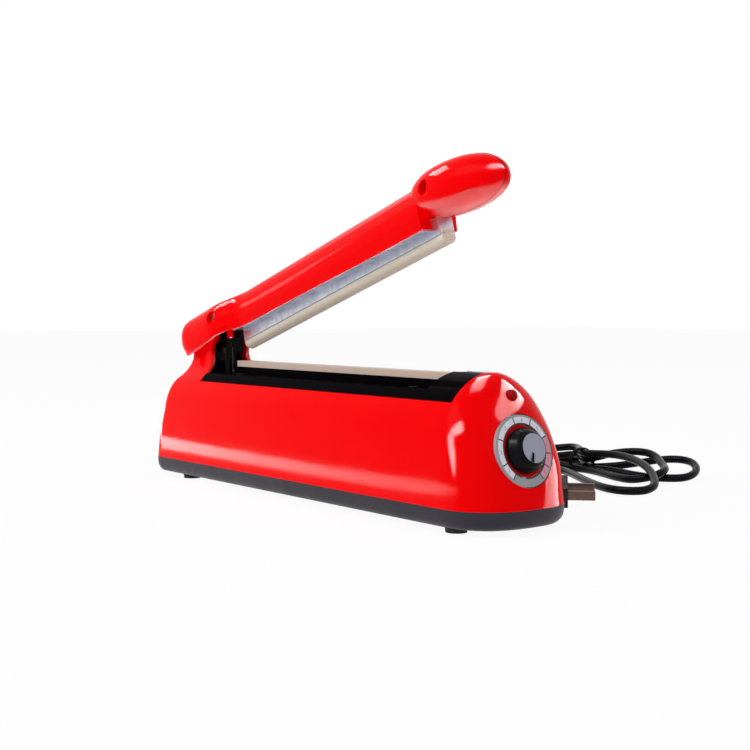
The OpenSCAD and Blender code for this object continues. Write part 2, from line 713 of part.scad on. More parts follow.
module timer_knob() {
  color(gloss_black) on_face(dial_x, dial_height) difference() {
    rotate_extrude() knob_profile();
    translate([0, 0, knob_foot - 1]) cylinder(r = bushing_radius + 2.6, h = 2.2);
    cylinder(r = shaft_radius + seat, h = knob_height - 1.8);
  }
}

// Grey disc on the knob, with the pointer's notch at about seven o'clock
module knob_cap() {
  color([0.6, 0.58, 0.62]) on_face(dial_x, dial_height) translate([0, 0, knob_height - 0.8]) difference() {
    cylinder(r = cap_radius - seat, h = 0.9);
    rotate([0, 0, pointer_angle]) translate([cap_radius - 5, -0.6, 0.3]) cube([6, 1.2, 2]);
  }
}
pointer_angle = -35;

module lamp_dome() {
  color([0.8, 0.02, 0.03]) on_face(lamp_x, lamp_height) {
    translate([0, 0, -4]) cylinder(r = lamp_radius, h = 4.8);
    translate([0, 0, 0.8]) intersection() {
      sphere(r = lamp_radius);
      cylinder(r = lamp_radius + 1, h = lamp_radius + 1);
    }
  }
}

module lamp_body() {
  color([0.8, 0.6, 0.5]) on_face(lamp_x, lamp_height) translate([0, 0, -10]) cylinder(r = lamp_radius - 0.5, h = 5.7);
}

// ---------- switch ----------

switch_top = hinge_height - 9.5;
switch_body_top = post_low_z;
switch_stroke = 1.2;

module microswitch() {
  color([0.1, 0.1, 0.12]) difference() {
    translate([switch_x - 10, switch_y - 3.2, switch_body_top - 10]) cube([20, 6.4, 10]);
    for (x = [-5, 5]) translate([switch_x + x, body_width, switch_body_top - 7]) rotate([90, 0, 0]) cylinder(r = 1.2, h = 2 * body_width);
    translate([switch_x, switch_y, switch_body_top - switch_stroke - 0.5]) cylinder(r = 1.6, h = 10);
  }
}

module switch_pin() {
  color([0.7, 0.1, 0.1]) translate([switch_x, switch_y, switch_body_top - 0.1]) cylinder(r = 1.5, h = switch_top - switch_body_top + 0.1);
}

// ---------- arm ----------
// The arm is drawn shut, with the hinge pin at the origin, and then turned up.

module on_arm() { translate([hinge_x, 0, hinge_height]) rotate([0, -open_angle, 0]) children(); }

bulb_cap = 12;
bulb_end_x = 6;
waist_end_x = 34;
arm_end_x = grip_reach - grip_length + 14;

// How much of the bulb's own section is left at a station: 1 over the hinge, 0 along the arm
function bulb_share(x) = 1 - ease(0, 1, (x - bulb_end_x) / (waist_end_x - bulb_end_x));
function bulb_close(x) = x > bulb_cap - bulb_reach ? 1
  : sqrt(max(0, 1 - pow((bulb_cap - bulb_reach - x) / bulb_cap, 2.4)));
function arm_y(x) = arm_half_width + (bulb_half_width - arm_half_width) * bulb_share(x) - bulb_cap * 0.9 * (1 - bulb_close(x));
bulb_middle_z = 1.5;
function arm_top(x) = bulb_middle_z + (arm_rise - 0.4 * bulb_share(x) - bulb_middle_z) * bulb_close(x);
function arm_ridge(x) = follow([[-bulb_reach, 0], [-24, -6.5], [0, -7], [14, -4.4], [30, -2.6], [60, -3]], x);
function arm_low(x) = bulb_middle_z + (follow([[-24, -11.3], [0, -9.6], [18, -7.4], [34, -8.4], [100, -9.2], [190, -arm_drop]], x) - bulb_middle_z) * bulb_close(x);
function arm_low_y(x) = arm_y(x) - follow([[-24, 1.6], [6, 1.2], [24, 1.1], [40, 1]], x);
arm_steps = 9;

// Half section of the arm on the +Y side, shrunk by an inset; the low edge can be set apart
function arm_section(x, inset, low) = let (
    y = arm_y(x) - inset, low_y = arm_low_y(x) - inset, top = arm_top(x) - inset,
    ridge = min(arm_ridge(x), top - 1), n = 2.1 + 0.9 * bulb_share(x)
  ) concat(
    [[x, 0, low], [x, low_y, low], [x, y - 0.15, ridge - 0.9]],
    [for (i = [0 : arm_steps]) let (a = 90 * i / arm_steps)
      [x, y * pow(cos(a), 2 / n), ridge + (top - ridge) * pow(sin(a), 2 / n)]]
  );

bulb_stations = [for (t = [0.6, 4, 10, 20, 34, 52, 72, 90]) -bulb_reach + bulb_cap * (1 - cos(t))];
arm_stations = concat(bulb_stations, [-20, -12, -4], levels(bulb_end_x, waist_end_x, 7), [46, 70, 120, 170, arm_end_x]);

// Egg-shaped handle: half-width, top and bottom along its length
function grip_start() = grip_reach - grip_length;
function grip_share(x) = (x - grip_start()) / grip_length;
function grip_bulge(t, n) = sqrt(max(0, 1 - pow(abs(2 * t - 1), n)));
function grip_y(x) = grip_half_width * grip_bulge(grip_share(x), 2) * (1 - 0.1 * grip_share(x));
function grip_middle(x) = 8.2 - 7.7 * grip_share(x);
function grip_rise(x) = 15.6 * grip_bulge(grip_share(x), 2.4);
function grip_drop(x) = 12.9 * grip_bulge(grip_share(x), 2.4);
grip_steps = 8;

function grip_section(x) = concat(
    [for (i = [0 : grip_steps]) let (a = 90 * i / grip_steps)
      [x, grip_y(x) * pow(sin(a), 0.9), grip_middle(x) - grip_drop(x) * pow(cos(a), 0.9)]],
    [for (i = [1 : grip_steps]) let (a = 90 * i / grip_steps)
      [x, grip_y(x) * pow(cos(a), 0.95), grip_middle(x) + grip_rise(x) * pow(sin(a), 0.95)]]
  );

grip_stations = [for (i = [0 : 18]) let (a = 4 + 172 * i / 18) grip_start() + grip_length * (1 - cos(a)) / 2];

// Each arm screw's X and Z from the pin, and the depth at which its boss meets the shell
screw_places = [[9.1, 3.9, neck_half_width + 1.4], [grip_reach - 46.6, 8.6, 8]];
boss_radius = 3;
rib_places = [70, 130, 190];
screw_shank = 1.5;
neck_clear = hinge_x - neck_rear_x + 2.3;

module arm_outer() {
  loft([for (x = arm_stations) arm_section(x, 0, arm_low(x))]);
  loft([for (x = grip_stations) grip_section(x)]);
}

module arm_hollow() {
  inner = [for (x = arm_stations) if (x > -bulb_reach + arm_wall + 2.2 && x < grip_start()) x];
  loft([for (x = concat(inner, [grip_start() - 1])) arm_section(x, arm_wall, -40)]);
}

// Half shell on the +Y side, before its screw is dealt with
module arm_half() {
  difference() {
    union() {
      difference() {
        arm_outer();
        arm_hollow();
        translate([grip_start() - 10, -1, -40]) cube([channel_end + 0.3 - grip_start() + 10, channel_half_width + 1.2, 40.2 + channel_top]);
        rotate([90, 0, 0]) translate([0, 0, -neck_half_width - 0.6]) linear_extrude(2 * neck_half_width)
          polygon([
            [0, 0.8], [-neck_clear, 0.8], [-neck_clear - 1.4, -5], [-bulb_reach - 8, -8], [-bulb_reach - 8, -40], [0, -40]
          ]);
      }
      translate([0, bulb_half_width - 1, 0]) rotate([90, 0, 0]) cylinder(r = pin_radius + 2.2, h = bulb_half_width - 1.6 - neck_half_width);
      for (p = screw_places) translate([p[0], 0, p[1]]) rotate([-90, 0, 0]) cylinder(r = boss_radius, h = p[2] + 1);
      intersection() {
        arm_outer();
        union() {
          for (x = rib_places) translate([x, 0, channel_top]) cube([2, arm_half_width, arm_rise]);
          translate([screw_places[0][0], neck_half_width + 0.3, screw_places[0][1]]) rotate([-90, 0, 0])
            cylinder(r = well_radius + 1.2, h = bulb_half_width);
        }
      }
    }
    rotate([-90, 0, 0]) cylinder(r = pin_radius + pin_clearance, h = arm_pin_reach + 0.2);
  }
}

module arm_left_shell() {
  color(red) on_arm() difference() {
    union() {
      mirror([0, 1, 0]) arm_half();
      translate([switch_x - hinge_x - 1.5, switch_y - 1.3, switch_top + shut_gap - hinge_height])
        cube([3, 2.6, screw_places[0][1] - boss_radius / 2 - switch_top - shut_gap + hinge_height]);
    }
    for (p = screw_places) translate([p[0], 0, p[1]]) rotate([90, 0, 0]) {
      translate([0, 0, -1]) cylinder(r = screw_shank + 0.2, h = 40);
      translate([0, 0, p[2]]) cylinder(r = well_radius, h = 30);
    }
  }
}

module arm_right_shell() {
  color(red) on_arm() difference() {
    arm_half();
    for (p = screw_places) translate([p[0], -1, p[1]]) rotate([-90, 0, 0]) cylinder(r = screw_shank + seat, h = 11);
  }
}

module arm_screws() {
  color(steel) on_arm() for (p = screw_places) translate([p[0], -p[2], p[1]]) rotate([-90, 0, 0]) {
      cylinder(r = screw_shank, h = p[2] + 9);
      translate([0, 0, -1.8]) difference() {
        cylinder(r = 3, h = 1.8);
        for (a = [0, 90]) rotate([0, 0, a]) translate([-2, -0.4, -1]) cube([4, 0.8, 2]);
      }
    }
}

// ---------- channel and silicone ----------

channel_start = 21.9;
channel_end = grip_reach - channel_setback;
channel_top = -5.4;
silicone_low = shut_gap - hinge_rise;
silicone_half_width = channel_half_width - silicone_ledge;
silicone_neck = 2;
channel_screw_places = [channel_start + 22, channel_end - 22];

module seal_channel() {
  y = channel_half_width;
  t = channel_wall;
  color(steel) on_arm() difference() {
    translate([channel_start, -y, -channel_drop]) cube([channel_end - channel_start, 2 * y, channel_top + channel_drop]);
    translate([channel_start - 1, t - y, t - channel_drop]) cube([channel_end - channel_start + 2, 2 * (y - t), channel_top + channel_drop - 2 * t]);
    translate([channel_start - 1, -silicone_neck - 0.1, -channel_drop - 1]) cube([channel_end - channel_start + 2, 2 * silicone_neck + 0.2, 3]);
    for (x = channel_screw_places) translate([x, 0, channel_top - 3]) cylinder(r = 1.3, h = 5);
  }
}

module silicone_strip() {
  y = silicone_half_width;
  color(cream) on_arm() translate([channel_start - 0.9, 0, 0]) {
    length = channel_end - channel_start + 0.9 + silicone_overhang;
    translate([0, -y, silicone_low]) cube([length, 2 * y, -channel_drop - 0.05 - silicone_low]);
    translate([0, -silicone_neck, -channel_drop - 1]) cube([length, 2 * silicone_neck, 3]);
    translate([0, channel_wall + 0.2 - channel_half_width, channel_wall + 0.05 - channel_drop])
      cube([length, 2 * (channel_half_width - channel_wall) - 0.4, 2]);
  }
}

module channel_screws() {
  color(steel) on_arm() for (x = channel_screw_places) translate([x, 0, channel_top - channel_wall]) {
    cylinder(r = 1.25, h = 7);
    translate([0, 0, -1.6]) cylinder(r = 2.5, h = 1.6);
  }
}

// ---------- mains lead ----------
// Routes are chosen by hand, along the middle of the lead.

cord_r = cord_diameter / 2;
relief_end = rear_x - relief_length;
lead_route = [
  [relief_end, 0, cord_exit_height], [-198, 1, 25], [-205, 4, 22], [-211, 9, 17], [-215, 17, 11], [-217, 27, 6],
  [-217, 39, 3.2], [-213, 52, 2.6], [-205, 64, 2.6], [-193, 73, 2.6], [-178, 79, 2.6], [-160, 82, 2.6],
  [-138, 84, 2.6], [-114, 87, 2.6], [-92, 94, 2.6], [-74, 104, 2.6], [-62, 120, 2.6], [-54, 139, 2.6],
  [-50, 158, 2.6], [-49, 177, 2.6], [-45.9, 193.5, 2.6]
];
tail_route = [
  [-18, 173.6, 2.6], [-20, 164, 2.6], [-16, 150, 2.6], [-7, 134, 2.6], [2, 118, 2.6], [10, 101, 2.6],
  [19, 85, 2.6], [31, 72, 2.8], [46, 63, 3.8], [61, 58, 5.6], [75, 57.5, 7.2], [86, 61, 7.9]
];
hank_rear = [-23, 206];
hank_rear_radius = 26;
hank_front = [62, 192];
hank_front_radius = 56;
hank_height = 13;
plug_place = [98, 73, 7.9];
plug_turn = 45;
plug_roll = 12;
blade_length = 15;
blade_half = 2.6;

module cord_along(route) { wire(route, cord_r, 8); }

module strain_relief() {
  color([0.06, 0.06, 0.06]) translate([rear_x, 0, cord_exit_height]) rotate([0, -90, 0]) difference() {
    union() {
      cylinder(r1 = cord_r + 3, r2 = cord_r + 1, h = relief_length);
      cylinder(r = cord_r + 4.5, h = 2);
      translate([0, 0, -6]) cylinder(r = cord_r + 1.9, h = 7);
    }
    for (i = [0 : 3]) translate([-8, -8, 5 + i * 5]) difference() {
      cube([16, 16, 1.6]);
      translate([8, 8, -1]) cylinder(r = cord_r + 0.6, h = 4);
    }
  }
}

module lead_tube() { color([0.05, 0.05, 0.05]) cord_along(lead_route); }

module lead_tail() { color([0.05, 0.05, 0.05]) cord_along(tail_route); }

module lead_hank() {
  color([0.05, 0.05, 0.05]) linear_extrude(hank_height) hull() {
    translate(hank_rear) circle(r = hank_rear_radius);
    translate(hank_front) circle(r = hank_front_radius);
  }
}

tie_place = [0, 202];
tie_half_length = 40;

module hank_tie() {
  aim = atan2(hank_front[1] - hank_rear[1], hank_front[0] - hank_rear[0]);
  color([0.1, 0.1, 0.1]) translate([tie_place[0], tie_place[1], 0]) rotate([0, 0, aim]) difference() {
    translate([-2, -tie_half_length, 0]) cube([4, 2 * tie_half_length, hank_height + 1]);
    translate([-3, 1 - tie_half_length, -1]) cube([6, 2 * tie_half_length - 2, hank_height + 1.05]);
  }
}

module at_plug() { translate(plug_place) rotate([0, 0, plug_turn]) rotate([plug_roll, 0, 0]) children(); }

module plug_body() {
  color([0.06, 0.06, 0.06]) at_plug() {
    hull() {
      translate([-9, -8, -5]) cube([2, 16, 10]);
      translate([8, -11.5, -5.6]) cube([4, 23, 11.2]);
    }
    translate([-17, 0, 0]) rotate([0, 90, 0]) cylinder(r1 = cord_r + 0.8, r2 = cord_r + 2, h = 9);
  }
}

module plug_blades() {
  color(brass) at_plug() for (y = [-6.35, 6.35]) translate([12, y - 0.8, -blade_half]) cube([blade_length, 1.6, 2 * blade_half]);
}

// ---------- the whole part ----------

base_tray();
housing();
top_deck();
hinge_post();
rail_insulation();
heating_ribbon();
ribbon_tape();
ribbon_terminals();
terminal_screws();
deck_screws();
hinge_pin();
return_spring();
transformer_core();
transformer_coil();
transformer_strap();
transformer_screws();
timer_board();
board_parts();
timer_pot();
pot_nut();
dial_ring();
lamp_dome();
lamp_body();
rubber_feet();
tray_screws();
microswitch();
strain_relief();
switch_pin();
arm_left_shell();
arm_right_shell();
arm_screws();
seal_channel();
silicone_strip();
channel_screws();
timer_knob();
knob_cap();
timer_shaft();
lead_tube();
lead_hank();
lead_tail();
hank_tie();
plug_body();
plug_blades();
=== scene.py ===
import math

import bpy
import numpy as np
from mathutils import Matrix, Vector


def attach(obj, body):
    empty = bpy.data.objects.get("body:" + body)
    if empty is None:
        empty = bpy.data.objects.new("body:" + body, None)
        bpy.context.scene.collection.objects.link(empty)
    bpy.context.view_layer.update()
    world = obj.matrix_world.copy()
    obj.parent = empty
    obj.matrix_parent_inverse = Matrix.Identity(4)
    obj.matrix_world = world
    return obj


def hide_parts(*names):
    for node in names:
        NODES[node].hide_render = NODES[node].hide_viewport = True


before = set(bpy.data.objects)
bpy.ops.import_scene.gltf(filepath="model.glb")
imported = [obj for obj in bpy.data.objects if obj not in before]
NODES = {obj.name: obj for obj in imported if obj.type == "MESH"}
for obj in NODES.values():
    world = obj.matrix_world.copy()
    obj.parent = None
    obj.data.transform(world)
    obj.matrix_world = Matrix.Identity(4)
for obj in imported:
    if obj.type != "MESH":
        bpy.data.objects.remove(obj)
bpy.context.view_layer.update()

MM = 0.001


# ---------- camera ----------

CAMERA_PLACE = (0.6142, -0.4388, 0.1082)
CAMERA_AZIMUTH = 52.806
CAMERA_ELEVATION = 2.812
CAMERA_LENS = 62.22


def make_camera():
    data = bpy.data.cameras.new("camera")
    data.lens = CAMERA_LENS
    data.sensor_width = 36
    data.clip_end = 20
    camera = bpy.data.objects.new("camera", data)
    camera.location = CAMERA_PLACE
    camera.rotation_euler = (math.radians(90 - CAMERA_ELEVATION), 0, math.radians(CAMERA_AZIMUTH))
    bpy.context.scene.collection.objects.link(camera)
    bpy.context.scene.camera = camera


make_camera()


# ---------- helpers ----------

def add_mesh(name, verts, faces, material, body="base", limit=35):
    """A mesh piece from points in millimetres, on a body, with its sharp edges kept."""
    mesh = bpy.data.meshes.new(name)
    mesh.from_pydata([[c * MM for c in v] for v in verts], [], faces)
    mesh.validate()
    piece = bpy.data.objects.new(name, mesh)
    bpy.context.scene.collection.objects.link(piece)
    mesh.materials.append(material)
    soften(piece, limit)
    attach(piece, body)
    return piece


def soften(piece, limit=35):
    """Smooth shading that keeps edges sharper than limit degrees. It changes no point."""
    mesh = piece.data
    count = len(mesh.loops)
    points = np.zeros(len(mesh.vertices) * 3, np.float32)
    mesh.vertices.foreach_get("co", points)
    vertex = np.zeros(count, np.int32)
    mesh.loops.foreach_get("vertex_index", vertex)
    places = points.reshape(-1, 3)[vertex]
    normals = np.zeros((count, 3))
    weights = np.zeros(count)
    for face in mesh.polygons:
        corners = [Vector(places[i]) for i in face.loop_indices]
        for k, i in enumerate(face.loop_indices):
            before, after = corners[k - 1] - corners[k], corners[(k + 1) % len(corners)] - corners[k]
            normals[i] = face.normal
            weights[i] = before.angle(after, 0.0)
    _, group = np.unique(np.round(places, 6), axis=0, return_inverse=True)
    group = group.ravel()
    order = np.argsort(group, kind="stable")
    starts = np.searchsorted(group[order], np.arange(group.max() + 2))
    cosine = math.cos(math.radians(limit))
    result = np.zeros((count, 3))
    for a, b in zip(starts[:-1], starts[1:]):
        mine = order[a:b]
        n = normals[mine]
        near = (n @ n.T > cosine) * weights[mine][None, :]
        result[mine] = near @ n
    length = np.linalg.norm(result, axis=1, keepdims=True)
    result = np.where(length > 1e-9, result / np.maximum(length, 1e-9), normals)
    mesh.polygons.foreach_set("use_smooth", [True] * len(mesh.polygons))
    mesh.normals_split_custom_set(result.tolist())


# ---------- materials ----------

class Shader:
    """A Principled material with short calls for its nodes."""

    def __init__(self, name, colour, roughness, **more):
        self.material = bpy.data.materials.new(name)
        self.material.use_nodes = True
        self.tree = self.material.node_tree
        self.bsdf = self.tree.nodes["Principled BSDF"]
        self.bsdf.inputs["Base Color"].default_value = (*colour, 1)
        self.bsdf.inputs["Roughness"].default_value = roughness
        for key, value in more.items():
            self.bsdf.inputs[key.replace("_", " ")].default_value = value
        self.place = self.node("ShaderNodeTexCoord").outputs["Object"]

    def node(self, kind, **inputs):
        made = self.tree.nodes.new(kind)
        for key, value in inputs.items():
            made.inputs[key.replace("_", " ")].default_value = value
        return made

    def link(self, output, target):
        self.tree.links.new(output, target)

    def noise(self, scale, detail, stretch=None):
        made = self.node("ShaderNodeTexNoise", Scale=scale, Detail=detail, Roughness=0.55)
        self.link(self.stretched(stretch), made.inputs["Vector"])
        return made.outputs["Fac"]

    def voronoi(self, scale):
        made = self.node("ShaderNodeTexVoronoi", Scale=scale)
        self.link(self.place, made.inputs["Vector"])
        return made.outputs["Color"]

    def stretched(self, factors):
        if factors is None:
            return self.place
        mapping = self.node("ShaderNodeMapping")
        mapping.inputs["Scale"].default_value = factors
        self.link(self.place, mapping.inputs["Vector"])
        return mapping.outputs["Vector"]

    def ramp(self, source, low, high, at=(0.3, 0.7)):
        """The source, remapped from at to low..high."""
        made = self.node("ShaderNodeMapRange")
        for key, value in zip(("From Min", "From Max", "To Min", "To Max"), (*at, low, high)):
            made.inputs[key].default_value = value
        self.link(source, made.inputs["Value"])
        return made.outputs["Result"]

    def mix(self, factor, first, second):
        made = self.node("ShaderNodeMix")
        made.data_type = "RGBA"
        colour_inputs = [s for s in made.inputs if s.type == "RGBA"]
        colour_inputs[0].default_value = (*first, 1)
        colour_inputs[1].default_value = (*second, 1)
        self.link(factor, made.inputs[0])
        return [s for s in made.outputs if s.type == "RGBA"][0]

    def bump(self, source, height):
        """Bump of a height in millimetres."""
        made = self.node("ShaderNodeBump", Strength=1.0, Distance=height * MM)
        self.link(source, made.inputs["Height"])
        self.link(made.outputs["Normal"], self.bsdf.inputs["Normal"])

    def colour_by(self, output):
        self.link(output, self.bsdf.inputs["Base Color"])

    def rough_by(self, output):
        self.link(output, self.bsdf.inputs["Roughness"])


def glossy_plastic(name, colour, dark, roughness, specular):
    """Injection-moulded plastic with a polished skin: slight flow marks and a fine ripple."""
    s = Shader(name, colour, roughness, Specular_IOR_Level=specular)
    s.colour_by(s.mix(s.ramp(s.noise(9, 3), 0, 1), colour, dark))
    s.rough_by(s.ramp(s.noise(60, 5), roughness * 0.8, roughness * 1.3))
    s.bump(s.noise(140, 2), 0.015)
    return s.material


def satin_plastic(name, colour, dark, roughness, grain=0.03, scale=2600, specular=0.4):
    """Textured moulded plastic: a fine spark-eroded grain."""
    s = Shader(name, colour, roughness, Specular_IOR_Level=specular)
    s.colour_by(s.mix(s.ramp(s.noise(26, 5), 0, 1), colour, dark))
    s.rough_by(s.ramp(s.noise(90, 5), roughness * 0.85, roughness * 1.15))
    s.bump(s.noise(scale, 2), grain)
    return s.material


def metal(name, colour, dark, roughness, stretch=(1, 1, 1), grain=0.01):
    """Bare or plated metal: a fine grain, drawn out by stretch."""
    scale = 500
    s = Shader(name, colour, roughness, Metallic=1.0)
    s.colour_by(s.mix(s.ramp(s.noise(scale, 4, stretch=stretch), 0, 1), colour, dark))
    s.rough_by(s.ramp(s.noise(scale * 1.7, 4, stretch=stretch), roughness * 0.7, roughness * 1.4))
    s.bump(s.noise(scale * 2, 3, stretch=stretch), grain)
    return s.material


def galvanised(name):
    """Zinc-coated sheet: angular spangles of slightly different tint and gloss."""
    s = Shader(name, (0.55, 0.58, 0.66), 0.36, Metallic=1.0)
    spangle = s.voronoi(320)
    grey = s.node("ShaderNodeRGBToBW")
    s.link(spangle, grey.inputs["Color"])
    tint = grey.outputs["Val"]
    s.colour_by(s.mix(s.ramp(tint, 0, 1, (0.15, 0.85)), (0.60, 0.62, 0.70), (0.50, 0.52, 0.61)))
    s.rough_by(s.ramp(tint, 0.28, 0.46, (0.15, 0.85)))
    s.bump(s.noise(700, 3), 0.01)
    return s.material


def tape_cloth(name):
    """Glass cloth under a non-stick skin: a fine square weave in tan."""
    s = Shader(name, (0.62, 0.47, 0.37), 0.48, Coat_Weight=0.15, Coat_Roughness=0.3)
    weave = s.node("ShaderNodeTexWave", Scale=420, Distortion=0.6, Detail=1.0)
    s.link(s.place, weave.inputs["Vector"])
    cross = s.node("ShaderNodeTexWave", Scale=420, Distortion=0.6, Detail=1.0)
    cross.bands_direction = "Y"
    s.link(s.place, cross.inputs["Vector"])
    both = s.node("ShaderNodeMath")
    both.operation = "MULTIPLY"
    s.link(weave.outputs["Fac"], both.inputs[0])
    s.link(cross.outputs["Fac"], both.inputs[1])
    threads = s.ramp(both.outputs["Value"], 0, 1, (0.1, 0.8))
    s.colour_by(s.mix(threads, (0.60, 0.45, 0.36), (0.72, 0.57, 0.47)))
    s.bump(both.outputs["Value"], 0.04)
    return s.material


def rubber(name, colour, dark, roughness, grain=0.02, sub=0.0, specular=0.3):
    """Soft or matt material with a fine grain; sub lets light into it."""
    s = Shader(name, colour, roughness, Specular_IOR_Level=specular)
    if sub:
        s.bsdf.inputs["Subsurface Weight"].default_value = sub
        s.bsdf.inputs["Subsurface Radius"].default_value = (0.004, 0.003, 0.002)
        s.bsdf.inputs["Subsurface Scale"].default_value = 1.0
    s.colour_by(s.mix(s.ramp(s.noise(40, 5), 0, 1), colour, dark))
    s.rough_by(s.ramp(s.noise(200, 4), roughness * 0.85, roughness * 1.2))
    s.bump(s.noise(900, 3), grain)
    return s.material


def lamp_lens(name):
    """Deep red moulded lens."""
    s = Shader(name, (0.36, 0.001, 0.004), 0.1, Specular_IOR_Level=0.06)
    s.colour_by(s.mix(s.ramp(s.noise(500, 3), 0, 1), (0.40, 0.001, 0.004), (0.28, 0.0, 0.003)))
    s.bump(s.noise(700, 2), 0.02)
    return s.material


# The glossy pieces' specular levels are far below real plastic's 0.5. That keeps their colours deep in front
# of the white surround, and the soft boxes make up the highlights. Under other lights they look too matt.
RED = glossy_plastic("red_plastic", (0.96, 0.0004, 0.0016), (0.92, 0.0003, 0.0014), 0.05, 0.02)
GREY = satin_plastic("grey_plastic", (0.034, 0.032, 0.043), (0.029, 0.027, 0.037), 0.42, specular=0.2)
BLACK_GLOSS = glossy_plastic("black_gloss", (0.003, 0.002, 0.003), (0.002, 0.0015, 0.002), 0.12, 0.004)
BLACK_POST = glossy_plastic("black_post", (0.003, 0.002, 0.003), (0.002, 0.0015, 0.002), 0.12, 0.05)
BLACK_KNOB = satin_plastic("black_knob", (0.005, 0.005, 0.006), (0.003, 0.003, 0.004), 0.22, 0.01, 900, 0.06)
BLACK_RUBBER = rubber("black_rubber", (0.012, 0.012, 0.013), (0.008, 0.008, 0.009), 0.6)
CORD_VINYL = rubber("cord_vinyl", (0.004, 0.004, 0.006), (0.003, 0.003, 0.004), 0.22, 0.004, specular=0.06)
RED_SHADE = rubber("red_groove", (0.30, 0.0, 0.001), (0.26, 0.0, 0.001), 0.6, specular=0.0)
# Painted shade: the deck screws are steel, darkened here to stand in for the shade of the wells they sit in.
SCREW_WELL_SHADE = metal("screw_well_shade", (0.03, 0.03, 0.035), (0.02, 0.02, 0.024), 0.4)
BLADE = metal("bronze_blade", (0.16, 0.10, 0.085), (0.11, 0.065, 0.055), 0.3, (1, 8, 1))
ZINC = galvanised("zinc_sheet")
STEEL = metal("plated_steel", (0.62, 0.62, 0.64), (0.50, 0.50, 0.53), 0.28)
LAMINATION = metal("lamination_steel", (0.20, 0.20, 0.21), (0.12, 0.12, 0.13), 0.5, (1, 1, 60))
BRASS = metal("brass", (0.60, 0.40, 0.20), (0.48, 0.30, 0.15), 0.3, (1, 8, 1))
TAPE = tape_cloth("tan_tape")
MICA = rubber("insulation", (0.50, 0.46, 0.36), (0.42, 0.38, 0.29), 0.7)
SILICONE = rubber("silicone", (0.76, 0.70, 0.58), (0.70, 0.64, 0.52), 0.5, 0.01, sub=0.25)
WINDING = metal("winding", (0.55, 0.22, 0.09), (0.40, 0.14, 0.05), 0.35, (1, 1, 40), 0.05)
BOARD = satin_plastic("circuit_board", (0.05, 0.14, 0.05), (0.04, 0.11, 0.04), 0.4)
PARTS = satin_plastic("board_plastic", (0.03, 0.035, 0.08), (0.02, 0.02, 0.05), 0.35)
DIAL_WHITE = satin_plastic("dial_white", (0.80, 0.80, 0.88), (0.76, 0.76, 0.84), 0.3, 0.005, specular=0.2)
DIAL_GREY = satin_plastic("dial_grey", (0.36, 0.36, 0.37), (0.32, 0.32, 0.33), 0.35, 0.005, specular=0.2)
DIAL_ROSE = satin_plastic("dial_rose", (0.80, 0.36, 0.46), (0.72, 0.28, 0.38), 0.35, 0.005, specular=0.2)
CAP_GREY = satin_plastic("grey_cap", (0.36, 0.36, 0.44), (0.33, 0.33, 0.41), 0.4, 0.004, 900, 0.2)
LENS = lamp_lens("red_lens")
# Black of the dial's print, also used for the painted shadow along the ring's rim.
INK_AND_SHADOW = satin_plastic("dial_ink_and_shadow", (0.01, 0.01, 0.012), (0.008, 0.008, 0.01), 0.4, 0.002)
RED_INK = satin_plastic("dial_red_ink", (0.75, 0.12, 0.2), (0.70, 0.10, 0.18), 0.4, 0.002)

NODE_LOOKS = {
    RED: ["housing", "arm_left_shell", "arm_right_shell"],
    GREY: ["base_tray"],
    BLACK_GLOSS: ["top_deck"],
    BLACK_POST: ["hinge_post"],
    # steel screws darkened as painted shade of their wells
    SCREW_WELL_SHADE: ["deck_screws"],
    BLACK_KNOB: ["timer_knob", "microswitch", "switch_pin"],
    BLACK_RUBBER: ["rubber_feet", "strain_relief", "plug_body"],
    ZINC: ["seal_channel", "transformer_strap"],
    STEEL: ["heating_ribbon", "terminal_screws", "hinge_pin", "return_spring",
            "transformer_screws", "tray_screws", "arm_screws", "channel_screws", "timer_shaft"],
    LAMINATION: ["transformer_core"],
    BRASS: ["ribbon_terminals", "pot_nut"],
    BLADE: ["plug_blades"],
    TAPE: ["ribbon_tape"],
    MICA: ["rail_insulation"],
    SILICONE: ["silicone_strip"],
    WINDING: ["transformer_coil"],
    BOARD: ["timer_board"],
    PARTS: ["board_parts", "timer_pot", "lamp_body"],
    DIAL_GREY: ["dial_ring"],
    CAP_GREY: ["knob_cap"],
    LENS: ["lamp_dome"],
    CORD_VINYL: ["lead_tube", "lead_hank", "lead_tail", "hank_tie"],
}


def dress_nodes():
    for material, names in NODE_LOOKS.items():
        for name in names:
            piece = NODES[name]
            piece.data.materials.clear()
            piece.data.materials.append(material)
            soften(piece)


dress_nodes()


# ---------- dial print and a painted shadow ---
# The printed scale lies on the ring and the pointer on the knob's cap, and a painted shadow darkens the
# ring's rim on the +Y half. Angles run anticlockwise from the +Y side as someone in front of the dial sees
# them.

DIAL_CENTRE = Vector((157.13, 0, 40.4))
DIAL_OUT = Vector((0.9627, 0, 0.2706))
DIAL_UP = Vector((-0.2706, 0, 0.9627))
DIAL_SIDE = Vector((0, 1, 0))
RING_TOP = -0.5
PRINT_TOP = RING_TOP + 0.06
SCALE_START, SCALE_END = 232, -58
TICKS = (203, 156.5, 103.5, 63, 22.5, -8, -33)
WHITE_SEGMENTS = 5
SEGMENT_INNER, SEGMENT_OUTER = 13.9, 17.0
DIGIT_RADIUS, DIGIT_SCALE, STROKE_HALF = 15.4, 0.42, 0.11


def on_dial(radius, angle, height):
    a = math.radians(angle)
    return DIAL_CENTRE + DIAL_SIDE * radius * math.cos(a) + DIAL_UP * radius * math.sin(a) + DIAL_OUT * height


